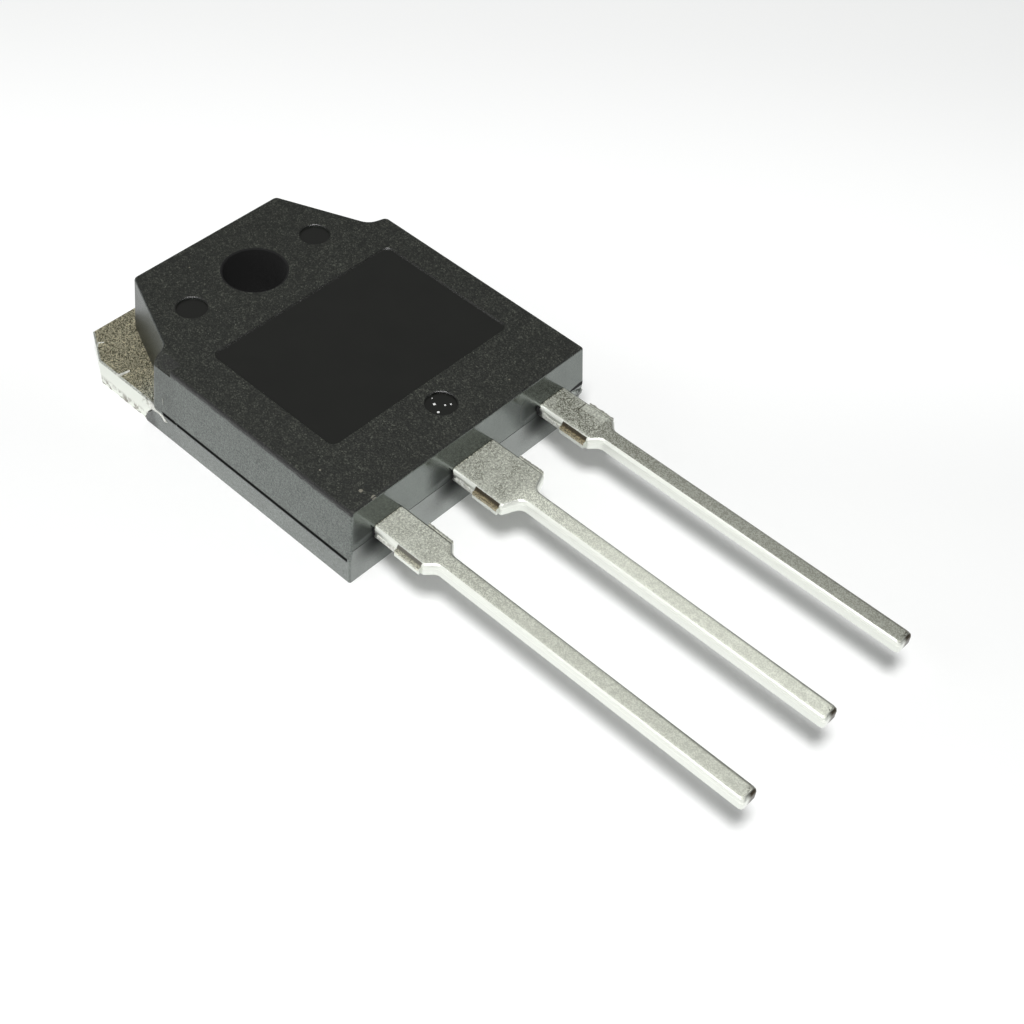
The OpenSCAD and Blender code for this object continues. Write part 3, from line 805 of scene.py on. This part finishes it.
@dataclass(frozen=True)
class SoftBox:
    """One square lamp. Lengths are in millimetres. Its level is what it gives a white sheet facing up."""

    name: str
    toward: Spot
    distance: float
    size: float
    level: float

    def hang(self, target: Vector) -> None:
        """Hangs the lamp.

        Args:
            target: Point that it shines at, in millimetres.
        """
        toward = Vector(self.toward).normalized()
        data = bpy.data.lights.new(self.name, "AREA")
        data.shape = "SQUARE"
        data.size = self.size * MM
        data.energy = self.level * (math.pi * self.distance * MM) ** 2 / toward.z
        lamp = bpy.data.objects.new(self.name, data)
        lamp.location = (target + toward * self.distance) * MM
        lamp.rotation_euler = toward.to_track_quat("Z", "Y").to_euler()
        bpy.context.scene.collection.objects.link(lamp)


@dataclass
class Studio:
    """Camera, floor and soft lights. Lengths are in millimetres, angles in degrees."""

    azimuth: float = -48.96
    elevation: float = 48.23
    roll: float = 3.84
    target: Vector = field(default_factory=lambda: Vector((0.0, -12.0, 2.0)))
    slide: tuple[float, float] = (1.03, -3.16)
    distance: float = 78.6
    focal_px: float = 1673.0
    centre_px: tuple[float, float] = (450.0, 505.0)
    image_px: float = 1024.0
    sensor: float = 36.0
    nearest: float = 5.0
    farthest: float = 20000.0
    floor_half: float = 1500.0
    paper: tuple[Color, Color] = ((0.9, 0.9, 0.9), (0.93, 0.935, 0.93))
    paper_grain: float = 0.02
    paper_rough: Step = (0.9, 1.0)
    paper_relief: float = 0.01
    paper_ior: float = 1.3
    near_glow: Step = (-8.0, 6.0, 0.09, 0.22)
    far_glow: Step = (14.0, 32.0, 0.0, -0.05)
    lift: Step = (62.0, 200.0, 0.0, 0.8)
    mirrored_glow: float = 0.3
    air: tuple[float, float, float, float] = (0.97, 1.0, 0.985, 1.0)
    air_level: float = 0.19
    lamps: tuple[SoftBox, ...] = (
        SoftBox("key_box", (-0.32, -0.23, 1.0), 190.0, 50.0, 0.77),
        SoftBox("side_box", (-0.78, 0.42, 0.46), 420.0, 240.0, 0.06))

    def camera(self) -> None:
        """Sets the camera where the portrait was taken from."""
        turn, tilt, spin = (math.radians(a) for a in (self.azimuth, self.elevation, self.roll))
        back = Vector((math.sin(turn) * math.cos(tilt), -math.cos(turn) * math.cos(tilt), math.sin(tilt)))
        level = Vector((math.cos(turn), math.sin(turn), 0.0))
        rise = back.cross(level)
        right = math.cos(spin) * level + math.sin(spin) * rise
        up = math.cos(spin) * rise - math.sin(spin) * level
        place = self.target + self.slide[0] * right + self.slide[1] * up + self.distance * back
        data = bpy.data.cameras.new("portrait_camera")
        data.sensor_fit = "HORIZONTAL"
        data.sensor_width = self.sensor
        data.lens = self.focal_px / self.image_px * self.sensor
        data.shift_x = (self.image_px / 2 - self.centre_px[0]) / self.image_px
        data.shift_y = (self.centre_px[1] - self.image_px / 2) / self.image_px
        data.clip_start = self.nearest * MM
        data.clip_end = self.farthest * MM
        camera = bpy.data.objects.new("portrait_camera", data)
        camera.matrix_world = Matrix.Translation(place * MM) @ Matrix((right, up, back)).transposed().to_4x4()
        bpy.context.scene.collection.objects.link(camera)
        bpy.context.scene.camera = camera

    def floor(self) -> None:
        """Lays the pale floor that keeps the part's shadow."""
        mesh = bpy.data.meshes.new("studio_floor")
        shape = bmesh.new()
        bmesh.ops.create_grid(shape, x_segments=1, y_segments=1, size=self.floor_half * MM)
        shape.to_mesh(mesh)
        shape.free()
        floor = bpy.data.objects.new("studio_floor", mesh)
        bpy.context.scene.collection.objects.link(floor)
        mesh.materials.append(self.floor_finish())

    def floor_finish(self) -> bpy.types.Material:
        """White paper that reads as white to the camera and in reflections.

        Returns:
            The material.
        """
        sheet = Sheet("studio_paper")
        fine = sheet.noise(self.paper_grain, 2.0)
        color, roughness = sheet.tint(fine, *self.paper), sheet.blend(fine, *self.paper_rough)
        sheet.dress(color, roughness, sheet.relief(fine, self.paper_relief), 0.0, self.paper_ior)
        turn = math.radians(self.azimuth)
        behind = sheet.axis("X") * -math.sin(turn) + sheet.axis("Y") * math.cos(turn)
        spread = sheet.add("VectorMath", {0: sheet.place()}, "Value", operation="LENGTH")
        level = sheet.ramp(spread, *self.lift) + (
            sheet.ramp(behind, *self.near_glow) + sheet.ramp(behind, *self.far_glow))
        camera, through, mirror = (
            sheet.add("LightPath", {}, f"Is {ray} Ray") for ray in ("Camera", "Transmission", "Glossy"))
        seen = sheet.most(camera, through) * level
        strength = sheet.most(seen, mirror * self.mirrored_glow)
        glow = sheet.add("Emission", {"Color": (1.0, 1.0, 1.0, 1.0), "Strength": strength})
        total = sheet.add("AddShader", {0: Wire(sheet, sheet.shader.outputs[0]), 1: glow})
        sheet.feed(sheet.output, "Surface", total)
        return sheet.material

    def room(self) -> None:
        """Lights the room evenly and dimly, so that flat metal mirrors a soft grey."""
        world = bpy.data.worlds.new("studio_room")
        bpy.context.scene.world = world
        world.use_nodes = True
        backdrop = world.node_tree.nodes["Background"]
        backdrop.inputs["Color"].default_value = self.air
        backdrop.inputs["Strength"].default_value = self.air_level

    def build(self) -> None:
        """Sets up everything round the part."""
        self.camera()
        self.floor()
        self.room()
        for lamp in self.lamps:
            lamp.hang(self.target)
        bpy.context.scene.view_settings.view_transform = "Standard"
        LOG.info("studio ready")


class Piece:
    """One small extra piece, shaped in millimetres with its place in its mesh."""

    def __init__(self, name: str, slot: str) -> None:
        """Starts an empty shape.

        Args:
            name: Name of the piece.
            slot: Material slot of the part's record that the piece belongs to; it is stored but not used.
        """
        self.name = name
        self.slot = slot
        self.shape = bmesh.new()

    def lump(self, centre: Vector, size: Vector, jag: float) -> None:
        """Adds one uneven lump.

        Args:
            centre: Middle of the lump.
            size: Half sizes along the axes.
            jag: Unevenness as a share of the size.
        """
        ball = bmesh.ops.create_icosphere(self.shape, subdivisions=3, radius=1.0)["verts"]
        for vert in ball:
            push = noise.noise(vert.co * 1.7 + centre * 3.1)
            vert.co *= 1.0 + jag * push
        bmesh.ops.scale(self.shape, vec=size, verts=ball)
        bmesh.ops.translate(self.shape, vec=centre, verts=ball)

    def sliver(self, start: Vector, end: Vector, thick: float, thin: float) -> None:
        """Adds one tapered sliver.

        Args:
            start: Thick end.
            end: Thin end.
            thick: Radius at the start.
            thin: Radius at the end.
        """
        run = end - start
        cone = bmesh.ops.create_cone(
            self.shape, cap_ends=True, segments=8, radius1=thick, radius2=thin, depth=run.length)["verts"]
        turn = run.to_track_quat("Z", "Y").to_matrix()
        bmesh.ops.rotate(self.shape, cent=Vector(), matrix=turn, verts=cone)
        bmesh.ops.translate(self.shape, vec=(start + end) / 2, verts=cone)

    def fin(self, start: Vector, end: Vector, height: float, thickness: float, teeth: int) -> None:
        """Adds one upright ragged fin.

        Args:
            start: Where its foot starts.
            end: Where its foot ends.
            height: Greatest height.
            thickness: Thickness of the fin.
            teeth: Steps along the fin.
        """
        run = (end - start) / teeth
        foot = self.shape.verts.new(start)
        crest = self.shape.verts.new(start + Vector((0, 0, height * self.tooth(start))))
        edge = self.shape.edges.new((foot, crest))
        sheet_faces = []
        for _ in range(teeth):
            grown = bmesh.ops.extrude_edge_only(self.shape, edges=[edge])["geom"]
            verts = [part for part in grown if isinstance(part, bmesh.types.BMVert)]
            bmesh.ops.translate(self.shape, vec=run, verts=verts)
            top = max(verts, key=lambda vert: vert.co.z)
            low = min(verts, key=lambda vert: vert.co.z)
            top.co.z = low.co.z + height * self.tooth(low.co)
            edge = next(part for part in grown if isinstance(part, bmesh.types.BMEdge))
            sheet_faces += [part for part in grown if isinstance(part, bmesh.types.BMFace)]
        bmesh.ops.solidify(self.shape, geom=sheet_faces, thickness=thickness)

    @staticmethod
    def tooth(place: Vector) -> float:
        """Height of a slightly ragged crest at a place, from 0.7 to 1."""
        return 0.7 + 0.3 * min(1.0, 2.5 * abs(noise.noise(place * 4.3)))

    def plate(self, corners: list[Vector], back_x: float) -> None:
        """Adds one plate with an upright back.

        Args:
            corners: Outline of its outer side.
            back_x: Where its back lies across the part.
        """
        face = self.shape.faces.new([self.shape.verts.new(corner) for corner in corners])
        grown = bmesh.ops.extrude_face_region(self.shape, geom=[face])["geom"]
        for part in grown:
            if isinstance(part, bmesh.types.BMVert):
                part.co.x = back_x
        bmesh.ops.triangulate(self.shape, faces=self.shape.faces)

    def finish(self, material: bpy.types.Material) -> None:
        """Turns the shape into a piece that rides on the part.

        Args:
            material: Its material.
        """
        bmesh.ops.recalc_face_normals(self.shape, faces=self.shape.faces)
        bmesh.ops.scale(self.shape, vec=(MM,) * 3, verts=self.shape.verts)
        mesh = bpy.data.meshes.new(self.name)
        self.shape.to_mesh(mesh)
        self.shape.free()
        mesh.materials.append(material)
        piece = bpy.data.objects.new(self.name, mesh)
        bpy.context.scene.collection.objects.link(piece)
        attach(piece, "root")
        LOG.info("%s: %d faces", self.name, len(mesh.polygons))


@dataclass
class LeadRoot:
    """What moulding and shearing leave at the root of one lead. Lengths are in millimetres."""

    lead: Lead
    blob: float = 0.2
    blob_shape: Spot = (0.55, 0.4, 0.75)
    blob_y: float = CASE_FRONT - 0.02
    blob_jag: float = 1.2
    blobs: tuple[Spot, ...] = (
        (0.2, 0.02, 0.6), (0.13, 0.16, 0.75), (0.28, 0.12, 0.35), (0.04, 0.36, 0.85), (-0.04, 0.5, 0.8),
        (0.12, 0.44, 0.4), (-0.1, 0.66, 0.5), (0.02, 0.06, 0.35))
    burr_size: Spot = (0.05, 0.12, 0.15)
    burr_z: float = 2.69
    burr_start: float = CASE_FRONT - 0.3
    burr_step: float = 0.125
    burrs: int = 9
    burr_waves: float = 2.7
    burr_lift: float = 0.06
    burr_growth: float = 0.05
    burr_jag: float = 0.6
    fin_out: float = 0.126
    fin_inset: float = 0.02
    fin_height: float = 0.17
    fin_thick: float = 0.02
    fin_teeth: int = 40

    def resin(self, material: bpy.types.Material) -> None:
        """Adds the black resin that crept out beside the lead.

        Args:
            material: Its material.
        """
        piece = Piece(f"root_resin_{self.lead.name.lower()}", "epoxy")
        share = self.lead.resin
        wide, thick, tall = self.blob_shape
        for out, drop, size in self.blobs:
            centre = Vector((self.lead.near_edge - share * out, self.blob_y, LEAD_TOP - drop))
            piece.lump(centre, Vector((wide * share, thick, tall)) * self.blob * size, self.blob_jag)
        piece.finish(material)

    def burr(self, material: bpy.types.Material) -> None:
        """Adds the pale lumps of tin along the near side of the root.

        Args:
            material: Their material.
        """
        piece = Piece(f"root_burr_{self.lead.name.lower()}", "tinned_copper")
        edge = self.lead.near_edge
        wide, thick, tall = self.burr_size
        for step in range(self.burrs):
            along = self.burr_start - self.burr_step * step
            wave = noise.noise(Vector((edge, along * self.burr_waves, 0.0)))
            centre = Vector((edge, along, self.burr_z + self.burr_lift * wave))
            piece.lump(centre, Vector((wide, thick, tall + self.burr_growth * wave)), self.burr_jag)
        piece.finish(material)

    def shear_fin(self, material: bpy.types.Material) -> None:
        """Adds the thin crest that the shears left along the far stub.

        Args:
            material: Its material.
        """
        piece = Piece(f"shear_fin_{self.lead.name.lower()}", "tinned_copper")
        across, foot = self.lead.far_edge + self.fin_out, STUB_TOP - self.fin_inset
        start = Vector((across, STUB_Y[0] + self.fin_inset, foot))
        end = Vector((across, STUB_Y[1] - self.fin_inset, foot))
        piece.fin(start, end, self.fin_height, self.fin_thick, self.fin_teeth)
        piece.finish(material)


@dataclass
class Flash:
    """Flash left on the case by the mould. Lengths are in millimetres."""

    case_x: float = -7.8
    wing_x: float = -7.54
    lower_draft: float = 6.0
    upper_draft: float = 4.0
    proud: float = 0.004
    outline: tuple[tuple[float, float], ...] = (
        (-2.1, 0.02), (-0.46, 0.02), (-0.40, 0.12), (-0.42, 0.34), (-0.6, 0.62), (-0.74, 0.9),
        (-0.92, 1.0), (-1.1, 1.16), (-1.2, 1.42), (-1.34, 1.48), (-1.47, 1.43), (-2.1, 1.5))
    torn_size: Spot = (0.075, 0.075, 0.2)
    torn_x: float = 6.6
    torn_y: float = CASE_FRONT + 0.04
    torn_z: float = 2.28
    torn_step: float = 0.062
    torn_lumps: int = 18
    torn_waves: float = 5.3
    torn_dip: float = 0.25
    torn_slope: float = 0.02
    torn_growth: float = 0.1
    torn_jag: float = 0.8
    pips: tuple[Spot, ...] = (
        (-0.19, -12.46, 0.07), (0.12, -12.84, 0.05), (0.36, -12.98, 0.045), (-0.43, -12.94, 0.065),
        (0.01, -12.11, 0.03))
    pip_rise: float = 0.6
    pip_jag: float = 0.15
    shoulder_tick: tuple[Spot, Spot] = ((-6.67, -1.45, 4.772), (-7.1, -1.62, 4.7))
    shoulder_tick_r: tuple[float, float] = (0.022, 0.015)
    wall_tick: tuple[tuple[float, float], ...] = ((-2.08, 2.74), (-2.1, 2.36))
    wall_tick_r: tuple[float, float] = (0.03, 0.015)

    def wall_x(self, z: float) -> float:
        """Place of the long wall's face at a height, a hair outside it."""
        draft = self.lower_draft if z < SIDE_PART_Z else self.upper_draft
        return self.case_x + abs(z - SIDE_PART_Z) * math.tan(math.radians(draft)) - self.proud

    def on_wall(self, places: tuple[tuple[float, float], ...]) -> list[Vector]:
        """Points on the long wall, given by how far along and how high they lie."""
        return [Vector((self.wall_x(z), y, z)) for y, z in places]

    def shoulder(self, material: bpy.types.Material) -> None:
        """Adds the thin epoxy that ran on along the side of the wing.

        Args:
            material: Its material.
        """
        piece = Piece("shoulder_flash", "epoxy")
        piece.plate(self.on_wall(self.outline), self.wing_x)
        piece.finish(material)

    def source_end(self, material: bpy.types.Material) -> None:
        """Adds the torn epoxy under the parting line at the source end.

        Args:
            material: Its material.
        """
        piece = Piece("source_end_flash", "epoxy")
        wide, thick, tall = self.torn_size
        for step in range(self.torn_lumps):
            across = self.torn_x + self.torn_step * step
            wave = noise.noise(Vector((across * self.torn_waves, 0.0, 1.0)))
            height = self.torn_z - self.torn_dip * abs(wave) - self.torn_slope * step
            size = Vector((wide, thick, tall + self.torn_growth * wave))
            piece.lump(Vector((across, self.torn_y, height)), size, self.torn_jag)
        piece.finish(material)

    def mark_pips(self, material: bpy.types.Material) -> None:
        """Adds the pips on the floor of the mark near the leads, coloured near white as painted highlights.

        Args:
            material: Their material.
        """
        piece = Piece("mark_pips", "epoxy")
        for x, y, r in self.pips:
            piece.lump(Vector((x, y, MARK_Z)), Vector((r, r, self.pip_rise * r)), self.pip_jag)
        piece.finish(material)

    def ticks(self, material: bpy.types.Material) -> None:
        """Adds the pale ticks on the long wall and on the edge of the shoulder.

        Args:
            material: Their material.
        """
        piece = Piece("pale_ticks", "epoxy")
        piece.sliver(*(Vector(end) for end in self.shoulder_tick), *self.shoulder_tick_r)
        piece.sliver(*self.on_wall(self.wall_tick), *self.wall_tick_r)
        piece.finish(material)


@dataclass
class WingBurrs:
    """Metal burrs and scratches on the wing that shows. Lengths are in millimetres."""

    top_z: float = 1.5
    root_way: tuple[Spot, Spot] = ((-7.55, -0.75, 1.5), (-7.66, -1.3, 1.53))
    root_r: tuple[float, float] = (0.04, 0.08)
    sliver_x: float = -7.765
    sliver_half: tuple[float, float] = (0.027, 0.13)
    sliver_tall: float = 1.35
    sliver_jag: float = 0.5
    sliver_way: tuple[Spot, ...] = (
        (-1.05, 1.52, 0.07), (-1.18, 1.55, 0.1), (-1.3, 1.58, 0.12), (-1.44, 1.6, 0.15), (-1.58, 1.62, 0.16),
        (-1.7, 1.61, 0.15), (-1.82, 1.58, 0.14), (-1.92, 1.52, 0.12), (-2.0, 1.44, 0.09), (-2.07, 1.36, 0.06),
        (-2.13, 1.28, 0.03))
    scratch_ways: tuple[tuple[Spot, Spot, float], ...] = (
        ((-7.52, 1.78, -0.03), (-7.5, 1.6, 0.0), 0.08), ((-7.5, 1.6, 0.0), (-6.95, 1.51, 0.0), 0.08),
        ((-7.12, 3.85, 0.0), (-6.8, 4.12, 0.0), 0.05), ((-6.8, 4.12, 0.0), (-6.57, 3.96, 0.0), 0.04))
    scratch_taper: float = 0.7

    def torn_edge(self, material: bpy.types.Material) -> None:
        """Adds the sliver torn off the wing's edge, lying over the flash.

        Args:
            material: Its material.
        """
        piece = Piece("wing_sliver", "tinned_copper")
        piece.sliver(*(Vector(end) for end in self.root_way), *self.root_r)
        for y, z, size in self.sliver_way:
            shape = Vector((*self.sliver_half, self.sliver_tall * size))
            piece.lump(Vector((self.sliver_x, y, z)), shape, self.sliver_jag)
        piece.finish(material)

    def scratches(self, material: bpy.types.Material) -> None:
        """Adds the raised scratches across the wing.

        Args:
            material: Their material.
        """
        piece = Piece("wing_scratches", "tinned_copper")
        rise = Vector((0.0, 0.0, self.top_z))
        for start, end, thick in self.scratch_ways:
            piece.sliver(rise + Vector(start), rise + Vector(end), thick, self.scratch_taper * thick)
        piece.finish(material)


def coat(material: bpy.types.Material, *nodes: str) -> None:
    """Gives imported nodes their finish.

    Args:
        material: Their material.
        *nodes: Names of the nodes.
    """
    for node in nodes:
        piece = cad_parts[node]
        if not piece.material_slots:
            piece.data.materials.append(material)
        for slot in piece.material_slots:
            slot.material = material
        LOG.info("%s dressed in %s", node, material.name)


def main() -> None:
    """Builds the part's looks and the studio, in order."""
    logging.basicConfig(level=logging.INFO, format="%(name)s: %(message)s")
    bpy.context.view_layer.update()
    Studio().build()
    epoxy = MouldedEpoxy().build()
    coat(epoxy, "moulded_case")
    coat(StampedTin().build(), "heat_spreader", "gate_lead", "source_lead")
    coat(PlainFinish("silicon", (0.12, 0.13, 0.16), (0.09, 0.1, 0.13), 0.2, 0.0).sealed(), "silicon_chip")
    coat(PlainFinish("solder", (0.42, 0.43, 0.44), (0.3, 0.31, 0.32), 0.5, 1.0).sealed(), "chip_solder")
    aluminium = PlainFinish("bond_wire", (0.8, 0.8, 0.81), (0.7, 0.7, 0.71), 0.3, 1.0).sealed()
    coat(aluminium, "gate_wire", "source_wire_inner", "source_wire_outer")
    resin = PlainFinish("black_resin", (0.003, 0.003, 0.003), (0.001, 0.001, 0.001), 0.65, 0.0, 1.55).trim()
    burr = PlainFinish("bright_burr", (0.9, 0.91, 0.86), (0.55, 0.55, 0.5), 0.45, 0.35, 1.55).trim()
    tick = PlainFinish("pale_tick", (0.5, 0.51, 0.47), (0.3, 0.31, 0.28), 0.35, 0.0, 1.55).trim()
    # Painted highlight: near-white pips that stand for glints on the floor of the mark.
    pip = PlainFinish("pip_painted_highlight", (0.9, 0.9, 0.89), (0.8, 0.8, 0.79), 0.2, 0.0, 1.55).trim()
    torn = PlainFinish("torn_epoxy", (0.5, 0.53, 0.5), (0.01, 0.012, 0.012), 0.25, 0.0, 1.55).trim(4.0)
    for lead in Lead:
        root = LeadRoot(lead)
        root.resin(resin)
        root.burr(burr)
        root.shear_fin(burr)
    flash = Flash()
    flash.shoulder(epoxy)
    flash.source_end(torn)
    flash.mark_pips(pip)
    flash.ticks(tick)
    wing = WingBurrs()
    wing.torn_edge(burr)
    wing.scratches(burr)


if __name__ == "__main__":
    main()
